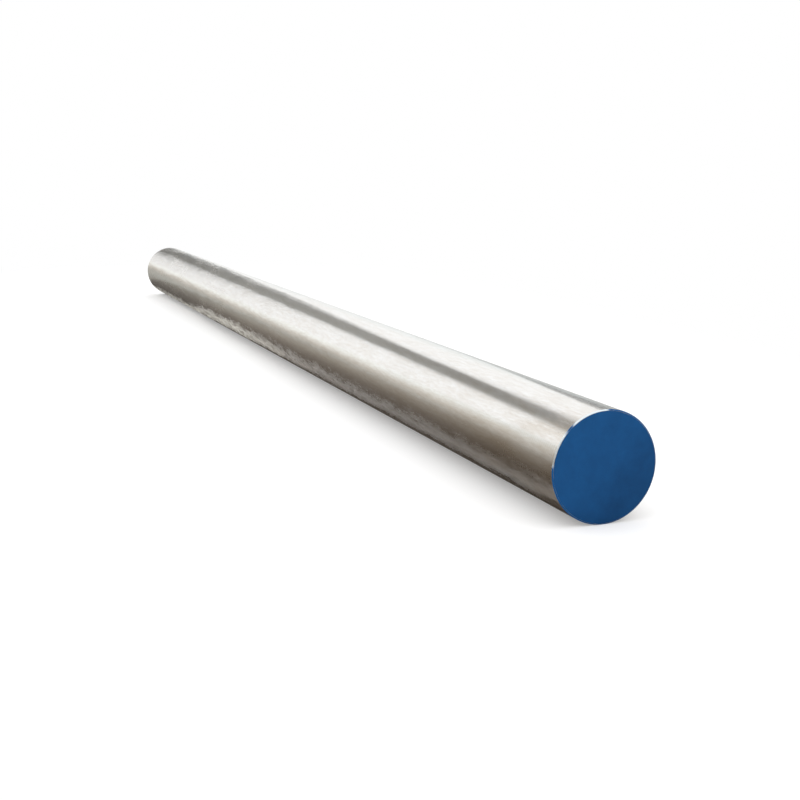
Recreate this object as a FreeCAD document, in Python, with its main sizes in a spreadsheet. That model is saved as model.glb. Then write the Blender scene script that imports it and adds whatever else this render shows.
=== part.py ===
import FreeCAD, Part
import Sketcher
import math
import os

# Bright round steel bar, sawn to a stock length and lying on its side.
# Row frame: +Z up, +X along the bar towards its painted end. The origin is on the floor, under the
# middle of the bar. Millimetres throughout.

# Driving sizes
SIZES = (
    ("bar_diameter", 160.0, "Peeled and polished diameter of the bar"),
    ("bar_length", 3000.0, "Sawn length, from end face to end face"),
    ("edge_chamfer", 1.5, "Deburred 45 degree edge round each sawn end"),
)

CENTRE_OF_CIRCLE = 3  # a sketch's number for the middle of a circle
START_OF_ELEMENT = 1  # and for the first point of an element; the origin counts as one
SKETCH_ORIGIN = -1  # the sketch's own horizontal axis, which starts at the origin
PARTS_FOLDER = "parts"


def size_sheet(doc):
    """The spreadsheet of driving sizes: name, value and meaning, with the name as the cell's alias."""
    sheet = doc.addObject("Spreadsheet::Sheet", "sizes")
    sheet.Label = "sizes"
    for row, (alias, value, meaning) in enumerate(SIZES, start=1):
        sheet.set(f"A{row}", alias)
        sheet.set(f"B{row}", str(value))
        sheet.set(f"C{row}", meaning)
        sheet.setAlias(f"B{row}", alias)
    doc.recompute()
    return sheet


def origin_plane(body, role):
    """The body's own origin plane with that role, such as YZ_Plane."""
    return next(plane for plane in body.Origin.OriginFeatures if plane.Role == role)


def bar_section(body, sheet):
    """The bar's round section, drawn about the bar's own axis."""
    sketch = body.newObject("Sketcher::SketchObject", "bar_section")
    sketch.AttachmentSupport = [(origin_plane(body, "YZ_Plane"), "")]
    sketch.MapMode = "FlatFace"
    centre = FreeCAD.Vector(0, 0, 0)
    along_bar = FreeCAD.Vector(0, 0, 1)
    circle = sketch.addGeometry(Part.Circle(centre, along_bar, sheet.bar_diameter / 2), False)
    on_axis = Sketcher.Constraint(
        "Coincident", circle, CENTRE_OF_CIRCLE, SKETCH_ORIGIN, START_OF_ELEMENT
    )
    sketch.addConstraint(on_axis)
    across = Sketcher.Constraint("Diameter", circle, sheet.bar_diameter)
    diameter = sketch.addConstraint(across)
    sketch.renameConstraint(diameter, "section_diameter")
    sketch.setExpression("Constraints.section_diameter", "sizes.bar_diameter")
    return sketch


def sawn_length(body, section):
    """The section carried along the bar, half of the length each way from the middle."""
    pad = body.newObject("PartDesign::Pad", "sawn_length")
    pad.Profile = section
    pad.SideType = "Symmetric"
    pad.setExpression("Length", "sizes.bar_length")
    return pad


def end_edges(shape):
    """Names of the circular edges round the two sawn ends."""
    return [
        f"Edge{number}"
        for number, edge in enumerate(shape.Edges, start=1)
        if isinstance(edge.Curve, Part.Circle)
    ]


def deburred_ends(body, pad):
    """The small chamfer that takes the saw's burr off both ends."""
    chamfer = body.newObject("PartDesign::Chamfer", "deburred_ends")
    chamfer.Base = (pad, end_edges(pad.Shape))
    chamfer.ChamferType = "Equal distance"
    chamfer.setExpression("Size", "sizes.edge_chamfer")
    return chamfer


def round_bar(doc, sheet):
    """The one piece of the object: a solid round bar, raised by its radius so that it lies on the floor."""
    body = doc.addObject("PartDesign::Body", "round_bar")
    body.Label = "round_bar"
    section = bar_section(body, sheet)
    pad = sawn_length(body, section)
    doc.recompute()
    body.Tip = deburred_ends(body, pad)
    body.setExpression("Placement.Base.z", "sizes.bar_diameter / 2")
    doc.recompute()
    return body


def expected_volume(sheet):
    """The bar's volume by formula: the straight part of the cylinder and a cone's frustum at each end."""
    radius = sheet.bar_diameter / 2
    chamfer = sheet.edge_chamfer
    end_radius = radius - chamfer
    straight = math.pi * radius**2 * (sheet.bar_length - 2 * chamfer)
    frustum = math.pi * chamfer / 3 * (radius**2 + radius * end_radius + end_radius**2)
    return straight + 2 * frustum


def check(doc, sheet, body):
    """Stops before anything is written if a feature failed or the solid isn't the one meant."""
    failed = [o.Name for o in doc.Objects if {"Invalid", "Error"} & set(o.State)]
    if failed:
        raise RuntimeError(f"features failed: {failed}")
    shape = body.Shape
    if shape.isNull() or not shape.isValid() or len(shape.Solids) != 1:
        raise RuntimeError("round_bar isn't one valid solid")
    if not math.isclose(shape.Volume, expected_volume(sheet)):
        raise RuntimeError(f"round_bar holds {shape.Volume} mm3, not {expected_volume(sheet)}")


def write_parts(bodies):
    os.makedirs(PARTS_FOLDER, exist_ok=True)
    for body in bodies:
        body.Shape.exportStep(os.path.join(PARTS_FOLDER, f"{body.Label}.step"))


doc = FreeCAD.newDocument("steel_bar")
sheet = size_sheet(doc)
bar = round_bar(doc, sheet)
check(doc, sheet, bar)
write_parts([bar])

box = bar.Shape.BoundBox
print(f"{bar.Label}: {box.XLength:.1f} x {box.YLength:.1f} x {box.ZLength:.1f} mm, lowest point {box.ZMin:.3f}")
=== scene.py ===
import math

import bpy
from bpy.props import FloatProperty, FloatVectorProperty, IntProperty, PointerProperty
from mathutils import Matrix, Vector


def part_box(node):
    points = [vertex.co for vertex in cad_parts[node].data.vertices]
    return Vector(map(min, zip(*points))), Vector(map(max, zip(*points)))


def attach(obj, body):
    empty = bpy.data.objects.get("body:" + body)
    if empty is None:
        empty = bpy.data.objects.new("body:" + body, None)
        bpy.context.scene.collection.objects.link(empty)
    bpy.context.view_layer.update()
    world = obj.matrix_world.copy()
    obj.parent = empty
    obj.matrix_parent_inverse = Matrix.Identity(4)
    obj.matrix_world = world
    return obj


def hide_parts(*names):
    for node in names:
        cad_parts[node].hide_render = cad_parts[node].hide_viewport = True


# A peeled round steel bar with one painted end, lying on its side. Metres; the bar runs along X,
# its painted end at +X, and the camera stands on the -Y side.

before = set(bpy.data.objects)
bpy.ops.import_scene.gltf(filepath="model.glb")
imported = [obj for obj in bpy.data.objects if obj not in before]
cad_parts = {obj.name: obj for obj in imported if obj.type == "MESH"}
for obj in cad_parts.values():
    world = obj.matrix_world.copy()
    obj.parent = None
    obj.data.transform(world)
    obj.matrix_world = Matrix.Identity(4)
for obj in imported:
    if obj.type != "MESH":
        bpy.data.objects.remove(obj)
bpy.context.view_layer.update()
BAR_LOW, BAR_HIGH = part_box("round_bar")

bl_info = {
    "name": "Peeled Steel Bar",
    "version": (1, 0, 0),
    "blender": (4, 5, 0),
    "location": "View3D > Sidebar > Steel Bar",
    "description": "A peeled and polished round steel bar with a painted end, and its studio",
    "category": "Object",
}

AXIS_HEIGHT = (BAR_LOW.z + BAR_HIGH.z) / 2
FLOOR_HEIGHT = BAR_LOW.z
FACET_CLEARANCE = 0.00001
WHOLE_TURN = 2 * math.pi
SAW_BANDS = 6  # kerf lines to one broad band, where the blade's feed changed a little
WAVE_BAND = math.pi / 10  # wave texture scale at which a step of one across the bands is one band
SAME_PLACE = 1e-5  # metres within which a vertex counts as lying where it should
# How much a face looks along the bar: under the first it is of the skin, over the second an end face.
SIDE_FACING, END_FACING = 0.01, 0.99
SMOOTH_ANGLE = math.radians(10)  # facets round the bar shade smooth, the deburred edge stays crisp
MIX_A, MIX_B, MIX_RESULT = 6, 7, 2  # a Mix node's own sockets for colours

# Angles about the bar are counted from its top towards +Y, so the camera side's are below zero.
# Arcs of the painted end's edge that the paint missed: middle and half width.
BARE_ARCS = ((math.radians(-65), math.radians(18)), (math.radians(-18), math.radians(19)))
ARC_RAGGED, ARC_FADE = 0.2, 0.1  # radians by which their ends are ragged, and fade into paint
SAW_TURN = math.radians(17)  # the kerf lines' slope on the sawn face
BRUSH_LENGTH = 0.025  # brush lines in the paint, which run level
BRUSH_SPACING = BRUSH_LENGTH / 14  # 1.8 mm, coarser than real bristles' lines so that they show
BRUSH_GRID_TURN = math.radians(-28)  # turns the noise's own grid away from the brush lines
BRUSH_DAB = 0.012  # length of the dabs in which the coat's outline wavers
# Upper and lower edge of the flank strip of dust, flakes and painted reflection, as angles before they
# are made ragged. Each has the angle where the steel is clean, then where the strip is whole at
# HAZE_END and FLAKE_START.
STRIP_EDGES = ((-1.37, -1.96, -1.72), (-2.06, -1.64, -1.94))
HAZE_END, FLAKE_START = 1.1, -0.4  # metres along the bar
STRIP_SINK = 0.30  # radians by which the strip lies lower at the plain end
# Heights of the relief that the materials draw.
GROOVE_DEPTH = 0.000012
STREAK_DEPTH = 0.000018
WAVER_DEPTH = 0.00035
HOLLOW_DEPTH = 0.0012
STROKE_DEPTH = 0.00003
KERF_DEPTH = 0.00005
BRISTLE_DEPTH = 0.00004

# What the polished steel mirrors: the ground and low wall on each side by distance from the bar,
# measured along the ground and then up the wall, and the flag overhead by distance along the bar.
WALL_DISTANCE = 3.0
WALL_HEIGHT = 1.6
ROOM_LENGTH = 60.0
SHEET_GAP = 0.0001  # how high the mirrored ground lies over the floor
# Next to the bar the mirrored ground is darkened by the bar's painted shadow; the darkest steps below
# are that shadow.
END_SHADE = (0.15, 0.9)  # how far past its ends the bar darkens the ground, in full and at all
OPEN_GROUND = 2.2  # the distance beside the bar at which the ground is as pale as it is there
CAMERA_SIDE = (
    (0.00, "#2F2B27"),
    (0.06, "#544D46"),
    (0.14, "#675E56"),
    (0.19, "#766D64"),
    (0.30, "#8E8579"),
    (0.42, "#958B80"),
    (0.70, "#A1988D"),
    (2.20, "#AAA094"),
    (3.18, "#BAAA9C"),
    (3.50, "#CCBCAD"),
    (3.80, "#E6D8CA"),
    (4.40, "#FCF1E6"),
)
FAR_SIDE = (
    (0.00, "#39342F"),
    (0.06, "#5A534B"),
    (0.19, "#766D64"),
    (0.42, "#958B80"),
    (0.70, "#A1988D"),
    (2.20, "#B0A79D"),
    (3.00, "#CFC9C2"),
    (3.20, "#E3DCD3"),
)
# Brightness of the room at the painted end and beyond the plain one, and where each is reached.
ROOM_LEVELS = (0.74, 1.45)
ROOM_LEVEL_REACH = (1.5, -0.2)
COOL_TINT = "#E8F5FF"  # multiplies the room's colours towards the plain end
COOL_REACH = (1.2, -2.0)
FLAG_RISE = 2.5  # height of the grey flag over the bar's axis
FLAG_SHADES = (
    (0.0, "#6C6A66"),
    (2.5, "#7D7B77"),
    (3.7, "#8F8D89"),
    (5.0, "#9F9E9A"),
    (6.6, "#A2A19D"),
    (8.0, "#A8A8A4"),
    (9.5, "#A1A19D"),
    (10.8, "#797977"),
    (13.0, "#5C5B59"),
    (25.0, "#464543"),
)
# Distance from the bar's middle, then the flag's edge on the camera side and on the far side.
FLAG_COLUMNS = (
    (40.0, -5.0, 9.0),
    (20.0, -1.6, 4.8),
    (9.0, -0.28, 1.92),
    (5.0, -0.66, 0.44),
    (3.0, -1.48, -0.05),
    (1.6, -2.3, 0.04),
)
SCREEN_PLACE = (-2.2, WALL_DISTANCE - 0.1, 1.5)
SCREEN_SIZE = (4.2, 1.2)
SCREEN_LEVEL = 0.05

FLOOR_RADIUS = 60.0
FLOOR_STEPS = 96
FLOOR_CLOTH = (0.92, 0.92, 0.92, 1.0)
SHADOW_REACH = (0.25, 1.2)  # distance from the bar at which the shadow starts and ends fading to white
SHADOW_GLOW = 0.28  # share of plain white under the bar itself
CEILING_SIZE = (60.0, 13.0)
WHITE = (1.0, 1.0, 1.0, 1.0)
SENSOR_WIDTH = 36.0  # millimetres
NEAREST, FARTHEST = 0.05, 200.0  # what the camera takes in


def linear(hex_colour):
    """An sRGB hex colour as linear red, green and blue."""
    channels = [int(hex_colour[i : i + 2], 16) / 255 for i in (1, 3, 5)]
    return [c / 12.92 if c <= 0.04045 else ((c + 0.055) / 1.055) ** 2.4 for c in channels]


# Sizes, colours and studio settings that a user would change


class BarSizes(bpy.types.PropertyGroup):
    """Sizes of the bar and of the marks that its making left on it."""

    diameter: FloatProperty(
        name="Diameter",
        description="Polished diameter of the bar, a hair inside the CAD solid's facets",
        default=BAR_HIGH.z - BAR_LOW.z - FACET_CLEARANCE,
        unit="LENGTH",
    )
    length: FloatProperty(
        name="Length",
        description="From the painted face to the plain sawn face",
        default=BAR_HIGH.x - BAR_LOW.x,
        unit="LENGTH",
    )
    edge_chamfer: FloatProperty(
        name="Edge Chamfer",
        description="Width of the deburred edge round each sawn face",
        default=0.0015,
        unit="LENGTH",
    )
    edge_round: FloatProperty(
        name="Edge Round",
        description="Small rounding that handling leaves on the deburred edge's corners",
        default=0.0002,
        unit="LENGTH",
    )
    feed_pitch: FloatProperty(
        name="Feed Pitch",
        description="Step of the peeling tool's spiral along the bar",
        default=0.0055,
        unit="LENGTH",
    )
    feed_depth: FloatProperty(
        name="Feed Depth",
        description="Height of the spiral's ridges",
        default=0.00005,
        unit="LENGTH",
    )
    kerf_pitch: FloatProperty(
        name="Kerf Pitch",
        description="Spacing of the saw blade's lines on a cut face",
        default=0.0022,
        unit="LENGTH",
    )
    paint_thickness: FloatProperty(
        name="Paint Thickness",
        description="Thickness of the marking paint on the end face",
        default=0.00015,
        unit="LENGTH",
    )
    paint_edge: FloatProperty(
        name="Paint Edge",
        description="How far the paint stops short of the deburred edge, on average",
        default=0.0003,
        unit="LENGTH",
    )
    round_steps: IntProperty(
        name="Round Steps",
        description="Facets round the bar",
        default=192,
        min=48,
    )


class BarColours(bpy.types.PropertyGroup):
    """Colours of the bare steel, of what clings to it and of the marking paint."""

    steel: FloatVectorProperty(
        name="Steel",
        description="Freshly peeled and polished alloy steel",
        subtype="COLOR",
        size=3,
        default=linear("#F2F2F1"),
    )
    oiled_steel: FloatVectorProperty(
        name="Oiled Steel",
        description="Steel under a thin film of rust-preventing oil and dust",
        subtype="COLOR",
        size=3,
        default=linear("#DAD3C9"),
    )
    dressed_steel: FloatVectorProperty(
        name="Dressed Steel",
        description="Freshly ground edge, free of oil",
        subtype="COLOR",
        size=3,
        default=linear("#E9F3F8"),
    )
    sawn_steel: FloatVectorProperty(
        name="Sawn Steel",
        description="Bare band-sawn face",
        subtype="COLOR",
        size=3,
        default=linear("#B8B4AC"),
    )
    scuff: FloatVectorProperty(
        name="Scuff",
        description="Pale rubbed dust and flakes along the flank that lay on its bearers",
        subtype="COLOR",
        size=3,
        default=linear("#E5E3D7"),
    )
    # The haze colour is partly dust and partly a painted lighter reflection of the ground under the
    # bar.
    haze: FloatVectorProperty(
        name="Haze",
        description="Brown dust film along the same flank near the painted end",
        subtype="COLOR",
        size=3,
        default=linear("#6F5B4D"),
    )
    paint: FloatVectorProperty(
        name="Paint",
        description="Blue marking paint",
        subtype="COLOR",
        size=3,
        default=linear("#022C50"),
    )
    paint_thin: FloatVectorProperty(
        name="Thin Paint",
        description="The same paint where the brush left it thinner",
        subtype="COLOR",
        size=3,
        default=linear("#0F497C"),
    )


class StudioSettings(bpy.types.PropertyGroup):
    """The camera, the lights and what the polished steel mirrors."""

    camera_place: FloatVectorProperty(
        name="Camera Place",
        description="Where the camera stands",
        subtype="XYZ",
        unit="LENGTH",
        size=3,
        default=(2.9518, -0.8547, 0.5013),
    )
    camera_turn: FloatProperty(
        name="Camera Turn",
        description="Heading of the camera, from +Y towards -X",
        subtype="ANGLE",
        default=math.radians(68.931),
    )
    camera_tilt: FloatProperty(
        name="Camera Tilt",
        description="How far the camera looks down",
        subtype="ANGLE",
        default=math.radians(11.189),
    )
    focal_length: FloatProperty(
        name="Focal Length",
        description=f"Focal length in millimetres, on a sensor {SENSOR_WIDTH:.0f} mm wide",
        default=57.35,
    )
    ceiling_height: FloatProperty(
        name="Ceiling Height",
        description="Height of the luminous ceiling over the floor",
        default=3.2,
        unit="LENGTH",
    )
    ceiling_level: FloatProperty(
        name="Ceiling Level",
        description="Brightness of the luminous ceiling, where 1 is white",
        default=0.95,
    )
    cloth_level: FloatProperty(
        name="Cloth Level",
        description="Brightness of the ceiling's cloth in the polished steel",
        default=1.1,
    )
    air_level: FloatProperty(
        name="Air Level",
        description="Brightness of the open studio round the set, for the light that it gives",
        default=0.6,
    )


# Node, mesh and selection helpers


def add_node(tree, kind, settings=None, inputs=None):
    """Adds one node with its settings, and gives each named input a value or another node's output."""
    node = tree.nodes.new(kind)
    for name, value in (settings or {}).items():
        setattr(node, name, value)
    for socket, value in (inputs or {}).items():
        if isinstance(value, bpy.types.NodeSocket):
            tree.links.new(value, node.inputs[socket])
        else:
            node.inputs[socket].default_value = value
    return node


def rgba(colour):
    """The colour as a socket takes it, with nothing let through."""
    return (*colour, 1.0)


def new_material(name):
    """An empty node material, its tree and its output node."""
    material = bpy.data.materials.new(name)
    material.use_nodes = True
    tree = material.node_tree
    tree.nodes.clear()
    return material, tree, tree.nodes.new("ShaderNodeOutputMaterial")


def deselect_all():
    bpy.ops.object.select_all(action="DESELECT")


def named_piece(name):
    """Names the primitive that was just added and puts its place into its mesh."""
    piece = bpy.context.active_object
    piece.name = name
    piece.data.name = name
    bpy.ops.object.transform_apply(location=True, rotation=True, scale=True)
    return piece


def select_in(piece, element, test):
    """Opens the piece in edit mode, with only those polygons, edges or vertices that pass selected."""
    bpy.ops.object.mode_set(mode="EDIT")
    mode = {"polygons": "FACE", "edges": "EDGE", "vertices": "VERT"}[element]
    bpy.ops.mesh.select_mode(type=mode)
    bpy.ops.mesh.select_all(action="DESELECT")
    bpy.ops.object.mode_set(mode="OBJECT")
    found = 0
    for part in getattr(piece.data, element):
        part.select = test(part)
        found += part.select
    if not found:
        raise RuntimeError(f"no {element} of {piece.name} pass the test")
    bpy.ops.object.mode_set(mode="EDIT")


def object_mode():
    bpy.ops.object.mode_set(mode="OBJECT")


def on_ring(piece, x, radius):
    """A test for edges that lie on a circle about the bar's axis, at that place along it."""
    points = piece.data.vertices

    def lies_on(point):
        reach = math.hypot(point.co.y, point.co.z - AXIS_HEIGHT)
        return abs(point.co.x - x) < SAME_PLACE and abs(reach - radius) < SAME_PLACE

    return lambda edge: all(lies_on(points[i]) for i in edge.vertices)


def give_material(piece, material, test):
    """Gives the material to the faces that pass the test."""
    piece.data.materials.append(material)
    piece.active_material_index = len(piece.data.materials) - 1
    select_in(piece, "polygons", test)
    bpy.ops.object.material_slot_assign()
    object_mode()


# Materials of the bar


def centred_coordinates(tree):
    """Object coordinates with their origin moved up to the bar's axis."""
    place = add_node(tree, "ShaderNodeTexCoord")
    return add_node(
        tree,
        "ShaderNodeMapping",
        {"vector_type": "POINT"},
        {"Vector": place.outputs["Object"], "Location": (0, 0, -AXIS_HEIGHT)},
    ).outputs["Vector"]


def uneven_marks(tree, coordinates, length, width, detail, roughness=0.5):
    """Uneven marks of about that length along the bar and width across it, in metres."""
    stretched = add_node(
        tree,
        "ShaderNodeMapping",
        {"vector_type": "POINT"},
        {"Vector": coordinates, "Scale": (1 / length, 1 / width, 1 / width)},
    )
    noise = add_node(
        tree,
        "ShaderNodeTexNoise",
        {"noise_dimensions": "3D"},
        {
            "Vector": stretched.outputs["Vector"],
            "Scale": 1.0,
            "Detail": detail,
            "Roughness": roughness,
        },
    )
    return noise.outputs["Fac"]


def weighted_sum(tree, start, shares):
    """The start, plus each pattern times its share."""
    total = start
    for pattern, share in shares:
        total = add_node(
            tree,
            "ShaderNodeMath",
            {"operation": "MULTIPLY_ADD"},
            {0: pattern, 1: share, 2: total},
        ).outputs[0]
    return total


def faded(tree, start, fades):
    """The start times each fade, a smooth step from one level of a pattern to another."""
    product = start
    for pattern, first, last, low, high in fades:
        step = add_node(
            tree,
            "ShaderNodeMapRange",
            {"interpolation_type": "SMOOTHSTEP"},
            {"Value": pattern, "From Min": first, "From Max": last, "To Min": low, "To Max": high},
        )
        product = add_node(
            tree, "ShaderNodeMath", {"operation": "MULTIPLY"}, {0: step.outputs[0], 1: product}
        ).outputs[0]
    return product


def place_on_bar(tree, centred):
    """The three coordinates of a point on the bar, and its angle about the axis."""
    axes = add_node(tree, "ShaderNodeSeparateXYZ", None, {"Vector": centred}).outputs
    angle = add_node(tree, "ShaderNodeMath", {"operation": "ARCTAN2"}, {0: axes["Y"], 1: axes["Z"]})
    return axes, angle.outputs[0]


def flank_residue_and_reflection(tree, centred, along, angle, colours):
    """Cover and colour of the dust and flakes on the strip of flank that rubbed on its bearers.

    The strip runs along the camera side, about 20 to 45 degrees below the bar's middle, and lies
    lower at the plain end. It is thick pale flakes on the far half, and ends in ragged edges. At the
    painted end it is a thin brown haze: partly dust and partly a painted lighter reflection of the
    ground under the bar.
    """
    ragged = uneven_marks(tree, centred, 0.05, 0.012, 5, 0.75)
    sunk = faded(tree, STRIP_SINK, ((along, -0.5, -0.95, 0.0, 1.0),))
    wavering = weighted_sum(tree, angle, ((sunk, 1.0), (along, -0.03), (ragged, 0.7)))
    # The strip's edges are soft where it is only a haze, and crisp where flakes cling to it.
    cover = 1.0
    for clear, soft, crisp in STRIP_EDGES:
        whole = add_node(
            tree,
            "ShaderNodeMapRange",
            None,
            {
                "Value": along,
                "From Min": HAZE_END,
                "From Max": FLAKE_START,
                "To Min": soft,
                "To Max": crisp,
            },
        )
        cover = faded(tree, cover, ((wavering, clear, whole.outputs[0], 0.0, 1.0),))
    # Flakes a centimetre or two across, with bare steel between them away from the painted end.
    flakes = uneven_marks(tree, centred, 0.024, 0.012, 4, 0.75)
    between = add_node(
        tree,
        "ShaderNodeMapRange",
        None,
        {"Value": along, "From Min": 1.2, "From Max": 0.3, "To Min": 0.7, "To Max": 0.12},
    )
    cover = faded(
        tree,
        cover,
        ((along, 1.0, -0.1, 0.48, 1.0), (flakes, 0.37, 0.60, between.outputs[0], 1.0)),
    )
    # Pale specks among the brown haze of dust and painted reflection, few near the painted end and many
    # on the far half.
    specks = uneven_marks(tree, centred, 0.018, 0.008, 3, 0.7)
    paleness = faded(tree, 1.0, ((along, 0.6, -0.25, 0.0, 1.0), (specks, 0.32, 0.62, 0.5, 1.0)))
    residue_and_reflection = add_node(
        tree,
        "ShaderNodeMix",
        {"data_type": "RGBA"},
        {0: paleness, MIX_A: rgba(colours.haze), MIX_B: rgba(colours.scuff)},
    )
    return cover, residue_and_reflection.outputs[MIX_RESULT]


def peeled_steel(sizes, colours):
    """Alloy steel bar, peeled in a lathe and polished: a warm grey mirror blurred along the bar.

    The tool's spiral and the fine grooves between its ridges run round the bar, so reflections stay
    crisp across it and smear along it. The belt left the plain half slightly hollowed and matt in
    patches, and oil film, wiping and small specks cloud and streak the whole.
    """
    material, tree, output = new_material("peeled_and_polished_steel")
    centred = centred_coordinates(tree)
    axes, angle = place_on_bar(tree, centred)

    # The spiral that the tool leaves: one ridge for each feed step, a step further on at each turn.
    spiral = weighted_sum(tree, 0.0, ((angle, 1 / WHOLE_TURN), (axes["X"], 1 / sizes.feed_pitch)))
    chatter = uneven_marks(tree, centred, 0.033, 0.033, 1)
    ridge_place = add_node(
        tree, "ShaderNodeCombineXYZ", None, {"X": spiral, "Y": chatter, "Z": 0.0}
    )
    ridges = add_node(
        tree,
        "ShaderNodeTexWave",
        {"wave_type": "BANDS", "bands_direction": "X", "wave_profile": "SIN"},
        {
            "Vector": ridge_place.outputs["Vector"],
            "Scale": WAVE_BAND,
            "Distortion": 1.2,
            "Detail": 2.0,
            "Detail Scale": 1.5,
        },
    ).outputs["Fac"]

    # Fine grooves between the ridges. Real ones are about 0.3 mm apart, too fine to show, so they
    # are drawn about 1.5 mm apart.
    grooves = uneven_marks(tree, centred, 0.0015, 0.055, 3, 0.6)
    # Handling and wiping leave long faint streaks, a few millimetres wide.
    streaks = uneven_marks(tree, centred, 0.45, 0.005, 4, 0.6)
    # Specks and short smears in the skin, from a few millimetres to a finger's width.
    specks = uneven_marks(tree, centred, 0.06, 0.009, 4, 0.72)
    grain = uneven_marks(tree, centred, 0.02, 0.0035, 3, 0.7)
    # A peeled bar is not dead straight or round: the mirror wavers a little.
    waver = uneven_marks(tree, centred, 0.14, 0.09, 5, 0.54)

    # The polishing belt pressed unevenly. It left soft hollows a finger or two wide, drawn deeper than
    # real ones to show, and matt patches of that width. Both are most marked on the plain half.
    dips = uneven_marks(tree, centred, 0.09, 0.03, 3, 0.5)
    hollows = faded(tree, dips, ((axes["X"], 1.3, -0.9, 0.08, 1.0),))
    belt_marks = uneven_marks(tree, centred, 0.15, 0.03, 4, 0.6)
    matt = faded(tree, 1.0, ((belt_marks, 0.34, 0.72, 0.0, 1.0), (axes["X"], 0.8, -1.3, 0.45, 1.0)))

    height = weighted_sum(
        tree,
        0.0,
        (
            (ridges, sizes.feed_depth),
            (grooves, GROOVE_DEPTH),
            (streaks, STREAK_DEPTH),
            (waver, WAVER_DEPTH),
            (hollows, HOLLOW_DEPTH),
        ),
    )
    relief = add_node(
        tree, "ShaderNodeBump", None, {"Strength": 1.0, "Distance": 1.0, "Height": height}
    )

    # The oil film lies in clouds a hand's width across. It is thickest at the painted end, where the
    # bar was handled, and wiped thin along the top and the far side.
    clouds = uneven_marks(tree, centred, 0.24, 0.06, 4, 0.6)
    film = faded(
        tree,
        1.0,
        (
            (clouds, 0.30, 0.66, 0.0, 1.0),
            (axes["X"], 1.5, 1.05, 1.0, 0.05),
            (angle, -0.35, -0.80, 0.15, 1.0),
        ),
    )
    clean_roughness = weighted_sum(
        tree, 0.13, ((film, 0.08), (streaks, 0.08), (grooves, 0.06), (matt, 0.10))
    )

    tarnish = film
    for pattern in (specks, grain):
        spots = add_node(
            tree,
            "ShaderNodeMapRange",
            None,
            {"Value": pattern, "From Min": 0.36, "From Max": 0.76},
        )
        tarnish = weighted_sum(tree, tarnish, ((spots.outputs[0], 0.38),))
    colour = add_node(
        tree,
        "ShaderNodeMix",
        {"data_type": "RGBA"},
        {0: tarnish, MIX_A: rgba(colours.steel), MIX_B: rgba(colours.oiled_steel)},
    )

    # The flank strip: dust and flakes, with a painted lighter reflection near the painted end.
    cover, residue_and_reflection = flank_residue_and_reflection(tree, centred, axes["X"], angle, colours)
    colour_with_strip = add_node(
        tree,
        "ShaderNodeMix",
        {"data_type": "RGBA"},
        {0: cover, MIX_A: colour.outputs[MIX_RESULT], MIX_B: residue_and_reflection},
    )
    bare = add_node(tree, "ShaderNodeMath", {"operation": "SUBTRACT"}, {0: 1.0, 1: cover})
    roughness = add_node(
        tree, "ShaderNodeMapRange", None, {"Value": cover, "To Min": clean_roughness, "To Max": 0.8}
    ).outputs[0]

    tangent = add_node(tree, "ShaderNodeTangent", {"direction_type": "RADIAL", "axis": "X"})
    surface = add_node(
        tree,
        "ShaderNodeBsdfPrincipled",
        None,
        {
            "Base Color": colour_with_strip.outputs[MIX_RESULT],
            "Metallic": bare.outputs[0],
            "Roughness": roughness,
            "Anisotropic": 0.6,
            "Anisotropic Rotation": 0.25,
            "Tangent": tangent.outputs["Tangent"],
            "Normal": relief.outputs["Normal"],
        },
    )
    tree.links.new(surface.outputs["BSDF"], output.inputs["Surface"])
    return material


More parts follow.
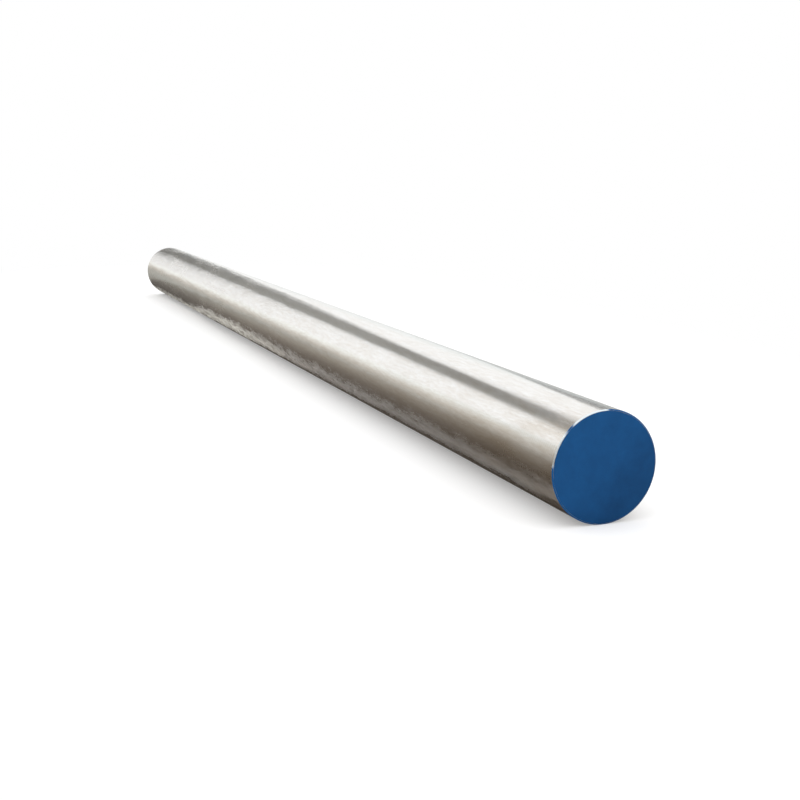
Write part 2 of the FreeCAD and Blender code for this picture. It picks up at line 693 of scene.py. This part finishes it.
def deburred_steel(colours):
    """Edge dressed with a grinding disc after sawing: bright, coarse and bare at the plain end.

    At the painted end the brush carried the paint over the edge, except for two arcs at the top and
    on the camera side, which stay bare and show as a thin bright line.
    """
    material, tree, output = new_material("deburred_steel_edge")
    centred = centred_coordinates(tree)
    axes, angle = place_on_bar(tree, centred)
    dabs = uneven_marks(tree, centred, 0.013, 0.013, 2)
    missed = 0.0
    for middle, half_width in BARE_ARCS:
        offset = add_node(
            tree, "ShaderNodeMath", {"operation": "SUBTRACT"}, {0: angle, 1: middle}
        )
        offset = add_node(tree, "ShaderNodeMath", {"operation": "ABSOLUTE"}, {0: offset.outputs[0]})
        wavering = weighted_sum(tree, offset.outputs[0], ((dabs, ARC_RAGGED),))
        painted_from = half_width + (ARC_RAGGED + ARC_FADE) / 2
        bare_up_to = half_width + (ARC_RAGGED - ARC_FADE) / 2
        inside = faded(tree, 1.0, ((wavering, painted_from, bare_up_to, 0.0, 1.0),))
        missed = add_node(
            tree, "ShaderNodeMath", {"operation": "MAXIMUM"}, {0: inside, 1: missed}
        ).outputs[0]
    covered = add_node(tree, "ShaderNodeMath", {"operation": "SUBTRACT"}, {0: 1.0, 1: missed})
    at_painted_end = add_node(
        tree, "ShaderNodeMath", {"operation": "GREATER_THAN"}, {0: axes["X"], 1: 0.0}
    )
    painted = add_node(
        tree,
        "ShaderNodeMath",
        {"operation": "MULTIPLY"},
        {0: covered.outputs[0], 1: at_painted_end.outputs[0]},
    ).outputs[0]
    colour = add_node(
        tree,
        "ShaderNodeMix",
        {"data_type": "RGBA"},
        {0: painted, MIX_A: rgba(colours.dressed_steel), MIX_B: rgba(colours.paint_thin)},
    )
    bare = add_node(tree, "ShaderNodeMath", {"operation": "SUBTRACT"}, {0: 1.0, 1: painted})
    roughness = add_node(
        tree, "ShaderNodeMapRange", None, {"Value": painted, "To Min": 0.45, "To Max": 0.6}
    )
    strokes = uneven_marks(tree, centred, 0.0011, 0.017, 3, 0.7)
    relief = add_node(
        tree, "ShaderNodeBump", None, {"Strength": 1.0, "Distance": STROKE_DEPTH, "Height": strokes}
    )
    surface = add_node(
        tree,
        "ShaderNodeBsdfPrincipled",
        None,
        {
            "Base Color": colour.outputs[MIX_RESULT],
            "Metallic": bare.outputs[0],
            "Roughness": roughness.outputs[0],
            "Specular IOR Level": 0.1,
            "Normal": relief.outputs["Normal"],
        },
    )
    tree.links.new(surface.outputs["BSDF"], output.inputs["Surface"])
    return material


def sawn_steel(sizes, colours):
    """Band-sawn end face: straight shallow kerf lines, duller and darker than the peeled skin."""
    material, tree, output = new_material("band_sawn_steel")
    centred = centred_coordinates(tree)
    turned = add_node(
        tree,
        "ShaderNodeMapping",
        {"vector_type": "POINT"},
        {"Vector": centred, "Rotation": (SAW_TURN, 0, 0)},
    )
    kerfs, bands = [
        add_node(
            tree,
            "ShaderNodeTexWave",
            {"wave_type": "BANDS", "bands_direction": "Z", "wave_profile": profile},
            {
                "Vector": turned.outputs["Vector"],
                "Scale": WAVE_BAND / pitch,
                "Distortion": distortion,
                "Detail": 3.0,
                "Detail Scale": 0.6,
            },
        ).outputs["Fac"]
        for profile, pitch, distortion in (
            ("SAW", sizes.kerf_pitch, 1.5),
            ("SIN", SAW_BANDS * sizes.kerf_pitch, 6.0),
        )
    ]
    stain = uneven_marks(tree, centred, 0.035, 0.035, 4)
    darkening = weighted_sum(tree, stain, ((bands, 0.10),))
    colour = add_node(
        tree,
        "ShaderNodeMix",
        {"data_type": "RGBA"},
        {0: darkening, MIX_A: rgba(colours.dressed_steel), MIX_B: rgba(colours.sawn_steel)},
    )
    roughness = weighted_sum(tree, 0.30, ((kerfs, 0.12), (bands, 0.04)))
    relief = add_node(
        tree, "ShaderNodeBump", None, {"Strength": 1.0, "Distance": KERF_DEPTH, "Height": kerfs}
    )
    surface = add_node(
        tree,
        "ShaderNodeBsdfPrincipled",
        None,
        {
            "Base Color": colour.outputs[MIX_RESULT],
            "Metallic": 1.0,
            "Roughness": roughness,
            "Normal": relief.outputs["Normal"],
        },
    )
    tree.links.new(surface.outputs["BSDF"], output.inputs["Surface"])
    return material


def marking_paint(sizes, colours):
    """Quick-drying alkyd marking paint, brushed on: flat blue, faint brush lines and thin places."""
    material, tree, output = new_material("brushed_marking_paint")
    centred = centred_coordinates(tree)
    turned = add_node(
        tree,
        "ShaderNodeMapping",
        {"vector_type": "POINT"},
        {
            "Vector": centred,
            "Rotation": (BRUSH_GRID_TURN, 0, 0),
            "Scale": (1 / BRUSH_LENGTH, 1 / BRUSH_LENGTH, 1 / BRUSH_SPACING),
        },
    )
    bristles = add_node(
        tree,
        "ShaderNodeTexNoise",
        {"noise_dimensions": "3D"},
        {"Vector": turned.outputs["Vector"], "Scale": 1.0, "Detail": 4.0, "Roughness": 0.6},
    ).outputs["Fac"]
    thin_places = uneven_marks(tree, centred, 0.03, 0.03, 5, 0.7)
    # The coat is drawn lighter towards the top on the near side and darker towards the bottom and the
    # far side.
    axes = add_node(tree, "ShaderNodeSeparateXYZ", None, {"Vector": centred}).outputs
    up_and_near = add_node(tree, "ShaderNodeMath", {"operation": "SUBTRACT"}, {0: axes["Z"], 1: axes["Y"]})
    top, bottom = 0.2 * sizes.diameter, -0.6 * sizes.diameter
    lighter_up_near = faded(tree, 0.36, ((up_and_near.outputs[0], bottom, top, 0.0, 1.0),))
    coat_lightening = weighted_sum(tree, lighter_up_near, ((thin_places, 0.8),))
    colour = add_node(
        tree,
        "ShaderNodeMix",
        {"data_type": "RGBA"},
        {0: coat_lightening, MIX_A: rgba(colours.paint), MIX_B: rgba(colours.paint_thin)},
    )
    roughness = weighted_sum(tree, 0.55, ((bristles, 0.15),))
    relief = add_node(
        tree, "ShaderNodeBump", None, {"Strength": 1.0, "Distance": BRISTLE_DEPTH, "Height": bristles}
    )
    surface = add_node(
        tree,
        "ShaderNodeBsdfPrincipled",
        None,
        {
            "Base Color": colour.outputs[MIX_RESULT],
            "Roughness": roughness,
            "Specular IOR Level": 0.1,
            "Normal": relief.outputs["Normal"],
        },
    )
    tree.links.new(surface.outputs["BSDF"], output.inputs["Surface"])
    return material


# Materials of the studio


def seen_or_mirrored(tree):
    """1 for what the camera sees, directly, in a mirror or through glass, and 0 for other light."""
    rays = add_node(tree, "ShaderNodeLightPath").outputs
    either = add_node(
        tree,
        "ShaderNodeMath",
        {"operation": "MAXIMUM"},
        {0: rays["Is Camera Ray"], 1: rays["Is Glossy Ray"]},
    )
    return add_node(
        tree,
        "ShaderNodeMath",
        {"operation": "MAXIMUM"},
        {0: either.outputs[0], 1: rays["Is Transmission Ray"]},
    ).outputs[0]


def stage_axes(tree):
    """The three coordinates of a point on a stage sheet, in the bar's own frame."""
    place = add_node(tree, "ShaderNodeTexCoord")
    return add_node(
        tree, "ShaderNodeSeparateXYZ", None, {"Vector": place.outputs["Object"]}
    ).outputs


def studio_air(level):
    """White surroundings, which give the object no more than a plain level of light."""
    world = bpy.data.worlds.new("studio_air")
    world.use_nodes = True
    tree = world.node_tree
    tree.nodes.clear()
    strength = add_node(
        tree,
        "ShaderNodeMapRange",
        None,
        {"Value": seen_or_mirrored(tree), "To Min": level, "To Max": 1.0},
    )
    air = add_node(
        tree, "ShaderNodeBackground", None, {"Color": WHITE, "Strength": strength.outputs[0]}
    )
    output = add_node(tree, "ShaderNodeOutputWorld", None, {"Surface": air.outputs[0]})
    output.is_active_output = True
    return world


def white_floor(sizes):
    """White seamless floor that keeps the bar's soft shadow and turns plain white away from it."""
    material, tree, output = new_material("white_seamless_floor")
    axes = stage_axes(tree)
    along = add_node(tree, "ShaderNodeMath", {"operation": "ABSOLUTE"}, {0: axes["X"]})
    beyond_end = add_node(
        tree,
        "ShaderNodeMath",
        {"operation": "SUBTRACT"},
        {0: along.outputs[0], 1: sizes.length / 2},
    )
    past_end = add_node(
        tree, "ShaderNodeMath", {"operation": "MAXIMUM"}, {0: beyond_end.outputs[0], 1: 0.0}
    )
    away = add_node(
        tree, "ShaderNodeCombineXYZ", None, {"X": past_end.outputs[0], "Y": axes["Y"], "Z": 0.0}
    )
    distance = add_node(
        tree, "ShaderNodeVectorMath", {"operation": "LENGTH"}, {0: away.outputs["Vector"]}
    ).outputs["Value"]
    plain = faded(tree, seen_or_mirrored(tree), ((distance, *SHADOW_REACH, SHADOW_GLOW, 1.0),))
    cloth = add_node(tree, "ShaderNodeBsdfDiffuse", None, {"Color": FLOOR_CLOTH})
    white = add_node(tree, "ShaderNodeEmission", None, {"Color": WHITE, "Strength": 1.0})
    floor = add_node(
        tree,
        "ShaderNodeMixShader",
        None,
        {0: plain, 1: cloth.outputs[0], 2: white.outputs[0]},
    )
    tree.links.new(floor.outputs[0], output.inputs["Surface"])
    return material


def shade_by_distance(tree, distance, steps):
    """Colour that changes with distance, from (metres, hex colour) steps."""
    reach = steps[-1][0]
    share = add_node(tree, "ShaderNodeMath", {"operation": "DIVIDE"}, {0: distance, 1: reach})
    ramp = add_node(tree, "ShaderNodeValToRGB", None, {"Fac": share.outputs[0]})
    elements = ramp.color_ramp.elements
    while len(elements) < len(steps):
        elements.new(1.0)
    for element, (metres, colour) in zip(elements, steps):
        element.position = metres / reach
        element.color = rgba(linear(colour))
    return ramp.outputs["Color"]


def mirrored_room(sizes):
    """What the steel mirrors beside it: brown ground under the bar's painted shadow, paling outwards,
    and walls up to white.
    """
    material, tree, output = new_material("mirrored_ground_and_walls")
    axes = stage_axes(tree)
    aside = add_node(tree, "ShaderNodeMath", {"operation": "ABSOLUTE"}, {0: axes["Y"]})
    outward = add_node(
        tree, "ShaderNodeMath", {"operation": "ADD"}, {0: aside.outputs[0], 1: axes["Z"]}
    ).outputs[0]
    # The bar's painted shadow darkens the ground beside it, but not beyond its ends.
    along = add_node(tree, "ShaderNodeMath", {"operation": "ABSOLUTE"}, {0: axes["X"]})
    beyond_end = add_node(
        tree,
        "ShaderNodeMapRange",
        None,
        {
            "Value": along.outputs[0],
            "From Min": sizes.length / 2 + END_SHADE[0],
            "From Max": sizes.length / 2 + END_SHADE[1],
            "To Max": OPEN_GROUND,
        },
    )
    outward = add_node(
        tree, "ShaderNodeMath", {"operation": "MAXIMUM"}, {0: outward, 1: beyond_end.outputs[0]}
    ).outputs[0]
    far_side = add_node(
        tree, "ShaderNodeMath", {"operation": "GREATER_THAN"}, {0: axes["Y"], 1: 0.0}
    )
    colour = add_node(
        tree,
        "ShaderNodeMix",
        {"data_type": "RGBA"},
        {
            0: far_side.outputs[0],
            MIX_A: shade_by_distance(tree, outward, CAMERA_SIDE),
            MIX_B: shade_by_distance(tree, outward, FAR_SIDE),
        },
    )
    # The room is lighter and cooler beyond the plain end than beside the painted one.
    towards_painted_end = weighted_sum(tree, axes["X"], ((outward, 1.0),))
    level = add_node(
        tree,
        "ShaderNodeMapRange",
        None,
        {
            "Value": towards_painted_end,
            "From Min": ROOM_LEVEL_REACH[0],
            "From Max": ROOM_LEVEL_REACH[1],
            "To Min": ROOM_LEVELS[0],
            "To Max": ROOM_LEVELS[1],
        },
    )
    cool = add_node(
        tree,
        "ShaderNodeMapRange",
        None,
        {"Value": axes["X"], "From Min": COOL_REACH[0], "From Max": COOL_REACH[1]},
    )
    tinted = add_node(
        tree,
        "ShaderNodeMix",
        {"data_type": "RGBA", "blend_type": "MULTIPLY"},
        {
            0: cool.outputs[0],
            MIX_A: colour.outputs[MIX_RESULT],
            MIX_B: rgba(linear(COOL_TINT)),
        },
    )
    glow = add_node(
        tree,
        "ShaderNodeEmission",
        None,
        {"Color": tinted.outputs[MIX_RESULT], "Strength": level.outputs[0]},
    )
    tree.links.new(glow.outputs[0], output.inputs["Surface"])
    return material


def dark_flag():
    """Grey cloth stretched under the ceiling, which gives the polished steel its dark line."""
    material, tree, output = new_material("mirrored_grey_flag")
    axes = stage_axes(tree)
    outward = add_node(tree, "ShaderNodeMath", {"operation": "ABSOLUTE"}, {0: axes["X"]})
    cloth = add_node(
        tree,
        "ShaderNodeEmission",
        None,
        {"Color": shade_by_distance(tree, outward.outputs[0], FLAG_SHADES), "Strength": 1.0},
    )
    tree.links.new(cloth.outputs[0], output.inputs["Surface"])
    return material


# Pieces


def make_turned_bar(sizes, colours):
    """The bar itself: a round length with deburred edges, one end set back by the paint's thickness."""
    radius = sizes.diameter / 2
    plain_face = -sizes.length / 2
    near_face = sizes.length / 2 - sizes.paint_thickness
    deselect_all()
    bpy.ops.mesh.primitive_cylinder_add(
        vertices=sizes.round_steps,
        radius=radius,
        depth=near_face - plain_face,
        end_fill_type="NGON",
        location=((near_face + plain_face) / 2, 0, AXIS_HEIGHT),
        rotation=(0, math.pi / 2, 0),
    )
    bar = named_piece("turned_bar")

    # Deburred edge round both ends, with its own corners slightly rounded.
    chamfer = sizes.edge_chamfer
    for face, inward in ((plain_face, 1), (near_face, -1)):
        select_in(bar, "edges", on_ring(bar, face, radius))
        bpy.ops.mesh.bevel(
            offset_type="OFFSET", offset=chamfer, segments=1, profile=0.5, affect="EDGES"
        )
        object_mode()
        for x, reach in ((face, radius - chamfer), (face + inward * chamfer, radius)):
            select_in(bar, "edges", on_ring(bar, x, reach))
            bpy.ops.mesh.bevel(
                offset_type="OFFSET", offset=sizes.edge_round, segments=2, affect="EDGES"
            )
            object_mode()

    bpy.ops.object.shade_smooth_by_angle(angle=SMOOTH_ANGLE)
    skin = peeled_steel(sizes, colours)
    dressed = deburred_steel(colours)
    sawn = sawn_steel(sizes, colours)
    give_material(bar, skin, lambda face: abs(face.normal.x) < SIDE_FACING)
    give_material(bar, dressed, lambda face: SIDE_FACING <= abs(face.normal.x) <= END_FACING)
    give_material(bar, sawn, lambda face: abs(face.normal.x) > END_FACING)
    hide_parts("round_bar")
    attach(bar, "root")
    return bar


def make_end_paint(sizes, colours):
    """The coat of marking paint: a thin disc with the wavering outline that a brush leaves."""
    radius = sizes.diameter / 2 - sizes.edge_chamfer - sizes.edge_round - sizes.paint_edge
    back = sizes.length / 2 - sizes.paint_thickness
    centre = (back, 0, AXIS_HEIGHT)
    deselect_all()
    bpy.ops.mesh.primitive_circle_add(
        vertices=sizes.round_steps,
        radius=radius,
        fill_type="NGON",
        location=centre,
        rotation=(0, math.pi / 2, 0),
    )
    coat = named_piece("end_paint")

    # The outline wavers by up to the paint's distance from the edge, in dabs of the brush.
    dabs = bpy.data.textures.new("brush_dabs", "CLOUDS")
    dabs.cloud_type = "COLOR"
    dabs.noise_scale = BRUSH_DAB
    waver = coat.modifiers.new("brush_edge", "DISPLACE")
    waver.texture = dabs
    waver.texture_coords = "LOCAL"
    waver.direction = "RGB_TO_XYZ"
    waver.strength = 2 * sizes.paint_edge
    bpy.ops.object.modifier_apply(modifier=waver.name)
    bpy.ops.object.mode_set(mode="EDIT")
    bpy.ops.mesh.select_all(action="SELECT")
    bpy.ops.transform.resize(value=(0, 1, 1), center_override=centre)
    bpy.ops.mesh.extrude_region_move(
        TRANSFORM_OT_translate={"value": (sizes.paint_thickness, 0, 0)}
    )
    bpy.ops.mesh.select_all(action="SELECT")
    bpy.ops.mesh.normals_make_consistent(inside=False)
    object_mode()
    front = sizes.length / 2
    points = coat.data.vertices

    def at_front(edge):
        return all(abs(points[i].co.x - front) < SAME_PLACE for i in edge.vertices)

    select_in(coat, "edges", at_front)
    bpy.ops.mesh.bevel(offset=sizes.paint_thickness / 2, segments=2, affect="EDGES")
    object_mode()
    bpy.ops.object.shade_smooth_by_angle(angle=SMOOTH_ANGLE)
    coat.data.materials.append(marking_paint(sizes, colours))
    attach(coat, "root")
    return coat


def evenly_lit(name, level):
    """Cloth of one plain brightness, where 1 is white."""
    material, tree, output = new_material(name)
    cloth = add_node(tree, "ShaderNodeEmission", None, {"Color": WHITE, "Strength": level})
    tree.links.new(cloth.outputs[0], output.inputs["Surface"])
    return material


def only_mirrored(sheet):
    """Makes this stage sheet show only in the polished steel, and cast no shadow."""
    sheet.visible_camera = False
    sheet.visible_diffuse = False
    sheet.visible_transmission = False
    sheet.visible_volume_scatter = False
    sheet.visible_shadow = False


def make_floor(sizes):
    """Round seamless floor, wide enough to fill the picture."""
    deselect_all()
    bpy.ops.mesh.primitive_circle_add(
        vertices=FLOOR_STEPS, radius=FLOOR_RADIUS, fill_type="NGON", location=(0, 0, FLOOR_HEIGHT)
    )
    floor = named_piece("studio_floor")
    floor.data.materials.append(white_floor(sizes))


def make_room(sizes):
    """Ground strip with a low wall along each side of the bar."""
    deselect_all()
    bpy.ops.mesh.primitive_plane_add(size=1, location=(0, 0, FLOOR_HEIGHT + SHEET_GAP))
    room = bpy.context.active_object
    room.scale = (ROOM_LENGTH, 2 * WALL_DISTANCE, 1)
    room = named_piece("studio_room")
    points = room.data.vertices

    def beside_wall(edge):
        return all(abs(abs(points[i].co.y) - WALL_DISTANCE) < SAME_PLACE for i in edge.vertices)

    select_in(room, "edges", beside_wall)
    bpy.ops.mesh.extrude_edges_move(TRANSFORM_OT_translate={"value": (0, 0, WALL_HEIGHT)})
    object_mode()
    room.data.materials.append(mirrored_room(sizes))
    only_mirrored(room)


def make_flag(name, turned, columns, cloth):
    """One half of the flag under the ceiling: narrow near the bar's end, wide and dark further off.

    With turned at 1 it runs off beyond the plain end, and at -1 it is that half turned end for end.
    """
    deselect_all()
    gaps = len(columns) - 1
    bpy.ops.mesh.primitive_grid_add(
        x_subdivisions=gaps, y_subdivisions=1, size=2, location=(0, 0, AXIS_HEIGHT + FLAG_RISE)
    )
    flag = named_piece(name)
    for number, (x, low, high) in enumerate(columns):
        for row, y in ((-1, low), (1, high)):
            old = (turned * (2 * number / gaps - 1), turned * row)

            def is_old_corner(point):
                return math.dist(point.co.xy, old) < SAME_PLACE

            select_in(flag, "vertices", is_old_corner)
            bpy.ops.transform.translate(value=(-turned * x - old[0], turned * y - old[1], 0))
            object_mode()
    flag.data.materials.append(cloth)
    only_mirrored(flag)


def make_screen():
    """Grey screen on the far side, beside the plain half and beyond it.

    The painted half mirrors it as a thin line along its top edge.
    """
    deselect_all()
    bpy.ops.mesh.primitive_plane_add(size=1, location=SCREEN_PLACE, rotation=(math.pi / 2, 0, 0))
    screen = bpy.context.active_object
    screen.scale = (*SCREEN_SIZE, 1)
    screen = named_piece("studio_screen")
    screen.data.materials.append(evenly_lit("mirrored_grey_screen", SCREEN_LEVEL))
    only_mirrored(screen)


def make_ceiling(settings):
    """One large soft light over the whole set."""
    long_side, short_side = CEILING_SIZE
    deselect_all()
    bpy.ops.object.light_add(type="AREA", location=(0, 0, settings.ceiling_height))
    ceiling = bpy.context.active_object
    ceiling.name = "studio_ceiling"
    ceiling.data.shape = "RECTANGLE"
    ceiling.data.size = long_side
    ceiling.data.size_y = short_side
    # The power goes with the area, so that the level holds at any size.
    ceiling.data.energy = settings.ceiling_level * math.pi * long_side * short_side
    ceiling.visible_camera = False
    ceiling.visible_glossy = False

    # Its cloth, as the polished steel mirrors it.
    deselect_all()
    bpy.ops.mesh.primitive_plane_add(size=1, location=(0, 0, settings.ceiling_height))
    cloth = bpy.context.active_object
    cloth.scale = (long_side, short_side, 1)
    cloth = named_piece("studio_cloth")
    cloth.data.materials.append(evenly_lit("mirrored_white_cloth", settings.cloth_level))
    only_mirrored(cloth)


def make_camera(settings):
    """The camera, where the photograph's stood."""
    deselect_all()
    bpy.ops.object.camera_add(
        location=settings.camera_place,
        rotation=(math.pi / 2 - settings.camera_tilt, 0, settings.camera_turn),
    )
    camera = bpy.context.active_object
    camera.name = "studio_camera"
    camera.data.sensor_width = SENSOR_WIDTH
    camera.data.lens = settings.focal_length
    camera.data.clip_start = NEAREST
    camera.data.clip_end = FARTHEST
    bpy.context.scene.camera = camera


# Operators, panel and registration


class STEELBAR_OT_turned_bar(bpy.types.Operator):
    """Turn the bar: the round length, its deburred edges and its sawn faces"""

    bl_idname = "steelbar.turned_bar"
    bl_label = "Turned Bar"

    def execute(self, context):
        scene = context.scene
        make_turned_bar(scene.bar_sizes, scene.bar_colours)
        return {"FINISHED"}


class STEELBAR_OT_end_paint(bpy.types.Operator):
    """Paint the near sawn face with marking paint"""

    bl_idname = "steelbar.end_paint"
    bl_label = "End Paint"

    def execute(self, context):
        scene = context.scene
        make_end_paint(scene.bar_sizes, scene.bar_colours)
        return {"FINISHED"}


class STEELBAR_OT_studio(bpy.types.Operator):
    """Build the studio: floor, mirrored room, flag and screen, luminous ceiling, air and camera"""

    bl_idname = "steelbar.studio"
    bl_label = "Studio"

    def execute(self, context):
        scene = context.scene
        settings = scene.bar_studio
        make_floor(scene.bar_sizes)
        make_room(scene.bar_sizes)
        cloth = dark_flag()
        make_flag("studio_flag", 1, FLAG_COLUMNS, cloth)
        # The half beyond the painted end stays clear of what that end's own edge mirrors.
        make_flag("studio_turned_flag", -1, FLAG_COLUMNS[:-2], cloth)
        make_screen()
        make_ceiling(settings)
        make_camera(settings)
        scene.world = studio_air(settings.air_level)
        scene.view_settings.view_transform = "Standard"
        return {"FINISHED"}


class STEELBAR_PT_panel(bpy.types.Panel):
    """Sizes, colours and the steps that make the bar"""

    bl_label = "Steel Bar"
    bl_idname = "STEELBAR_PT_panel"
    bl_space_type = "VIEW_3D"
    bl_region_type = "UI"
    bl_category = "Steel Bar"

    def draw(self, context):
        scene = context.scene
        for group in (scene.bar_sizes, scene.bar_colours, scene.bar_studio):
            box = self.layout.box()
            for name in group.__annotations__:
                box.prop(group, name)
        for step in STEPS:
            self.layout.operator(step.bl_idname)


GROUPS = {"bar_sizes": BarSizes, "bar_colours": BarColours, "bar_studio": StudioSettings}
STEPS = (STEELBAR_OT_turned_bar, STEELBAR_OT_end_paint, STEELBAR_OT_studio)


def register():
    for group in GROUPS.values():
        bpy.utils.register_class(group)
    for name, group in GROUPS.items():
        setattr(bpy.types.Scene, name, PointerProperty(type=group))
    for step in STEPS:
        bpy.utils.register_class(step)
    bpy.utils.register_class(STEELBAR_PT_panel)


def unregister():
    bpy.utils.unregister_class(STEELBAR_PT_panel)
    for step in reversed(STEPS):
        bpy.utils.unregister_class(step)
    for name in GROUPS:
        delattr(bpy.types.Scene, name)
    for group in reversed(GROUPS.values()):
        bpy.utils.unregister_class(group)


def main():
    register()
    bpy.ops.steelbar.turned_bar()
    bpy.ops.steelbar.end_paint()
    bpy.ops.steelbar.studio()


if __name__ == "__main__":
    main()
